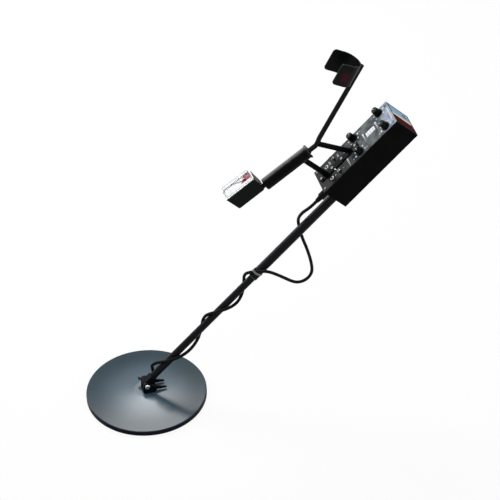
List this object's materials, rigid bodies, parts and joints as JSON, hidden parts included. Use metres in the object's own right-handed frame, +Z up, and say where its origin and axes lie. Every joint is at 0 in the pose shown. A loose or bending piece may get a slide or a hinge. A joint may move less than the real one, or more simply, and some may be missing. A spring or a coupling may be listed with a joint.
{
  "type": "underground metal detector",
  "caption": "Hand-held ground-search metal detector: flat round search coil on a telescoping shaft, knobbed control box, handle with meter and arm cuff.",
  "frame": {"origin": "centre of the search coil's flat underside", "axes": "+Z up from the ground, +X from the coil towards the operator, +Y to the side with the wing nut"},
  "size_m": [0.8364, 0.3, 0.9159],
  "materials": {
    "coil_shell": "satin moulded plastic",
    "coil_base": "plain moulded plastic",
    "black_plastic": "moulded plastic",
    "black_tube": "black anodised",
    "cuff_paint": "black paint",
    "case_paint": "black paint",
    "panel_paint": "grey paint with printed scales",
    "rear_paint": "printed colour bands",
    "bright_steel": "bright plated",
    "copper_wire": "enamelled wire",
    "nylon": "plain nylon",
    "foam": "closed-cell foam",
    "cable_rubber": "smooth jacket",
    "board": "glass-fibre board",
    "board_black": "moulded packages",
    "cell_sleeve": "plain sleeve",
    "lamp_red": "tinted lens",
    "dial_white": "printed dial",
    "needle_black": "black paint",
    "clear_cover": "clear moulded cover"
  },
  "bodies": {
    "frame": {"upper_tube": "black_tube", "tube_bush": "black_plastic", "case_body": "case_paint", "front_plate": "case_paint", "rear_plate": "rear_paint", "control_panel": "panel_paint", "panel_blocks": "case_paint", "panel_screws": "bright_steel", "tube_saddles": "black_plastic", "speaker": "black_plastic", "battery_holder": "black_plastic", "battery_cells": "cell_sleeve", "circuit_board": "board", "board_spacers": "bright_steel", "board_parts": "board_black", "coil_socket": "bright_steel", "coil_plug": "black_plastic", "headphone_socket": "bright_steel", "potentiometers": "bright_steel", "switch_bodies": "black_plastic", "indicator_lamps": "lamp_red", "handle_tube": "black_tube", "handle_end_cap": "black_plastic", "handle_posts": "black_tube", "strap_screws": "bright_steel", "grip_sleeve": "foam", "arm_cuff": "cuff_paint", "cuff_rivets": "bright_steel", "meter_straps": "black_tube", "meter_housing": "black_plastic", "meter_screws": "bright_steel", "meter_movement": "black_plastic", "meter_dial": "dial_white", "meter_cover": "clear_cover", "cable_tie": "nylon", "cable_loop": "cable_rubber"},
    "lower_shaft": {"lower_tube": "black_tube", "shaft_tip": "black_plastic", "lock_plug": "black_plastic", "lock_collet": "black_plastic", "friction_washers": "nylon", "cable_tail": "cable_rubber", "cable_wrap": "cable_rubber"},
    "coil": {"coil_top_shell": "coil_shell", "coil_bottom_plate": "coil_base", "transmit_winding": "copper_wire", "receive_winding": "copper_wire", "cable_gland": "black_plastic", "coil_yoke": "black_plastic", "yoke_screws": "bright_steel", "pivot_bolt": "bright_steel"},
    "wing_nut": {"wing_nut": "bright_steel"},
    "knob_1": {"knob_1": "black_plastic"},
    "knob_2": {"knob_2": "black_plastic"},
    "knob_3": {"knob_3": "black_plastic"},
    "knob_4": {"knob_4": "black_plastic"},
    "power_lever": {"power_lever": "bright_steel"},
    "mode_lever": {"mode_lever": "bright_steel"},
    "needle": {"meter_needle": "needle_black"}
  },
  "joints": [
    {"name": "lower_slide", "type": "slide", "parent": "frame", "child": "lower_shaft", "axis": [-0.7193, 0, -0.6947], "range_m": [-0.1, 0.04], "deforming": ["cable_wrap"]},
    {"name": "coil_tilt", "type": "hinge", "parent": "lower_shaft", "child": "coil", "pos_m": [0, 0, 0.0365], "axis": [0, 1, 0], "range_deg": [-40, 46], "deforming": ["cable_tail"]},
    {"name": "wing_nut_turn", "type": "hinge", "parent": "coil", "child": "wing_nut", "pos_m": [0, 0.0181, 0.0365], "axis": [0, 1, 0], "continuous": true},
    {"name": "knob_1_turn", "type": "hinge", "parent": "frame", "child": "knob_1", "pos_m": [0.54716, 0.0265, 0.65177], "axis": [-0.6947, 0, 0.7193], "range_deg": [-150, 150]},
    {"name": "knob_2_turn", "type": "hinge", "parent": "frame", "child": "knob_2", "pos_m": [0.54716, -0.0265, 0.65177], "axis": [-0.6947, 0, 0.7193], "range_deg": [-150, 150]},
    {"name": "knob_3_turn", "type": "hinge", "parent": "frame", "child": "knob_3", "pos_m": [0.60974, 0.0265, 0.71221], "axis": [-0.6947, 0, 0.7193], "range_deg": [-150, 150]},
    {"name": "knob_4_turn", "type": "hinge", "parent": "frame", "child": "knob_4", "pos_m": [0.60974, -0.0265, 0.71221], "axis": [-0.6947, 0, 0.7193], "range_deg": [-150, 150]},
    {"name": "power_lever_flip", "type": "hinge", "parent": "frame", "child": "power_lever", "pos_m": [0.49704, 0.024, 0.60435], "axis": [0, 1, 0], "range_deg": [0, 24]},
    {"name": "mode_lever_flip", "type": "hinge", "parent": "frame", "child": "mode_lever", "pos_m": [0.49704, -0.024, 0.60435], "axis": [0, 1, 0], "range_deg": [0, 24]},
    {"name": "needle_swing", "type": "hinge", "parent": "frame", "child": "needle", "pos_m": [0.27144, 0, 0.614], "axis": [-0.5664, 0, 0.8241], "range_deg": [0, 44], "stiffness_Nm_per_rad": 0.0004}
  ]
}
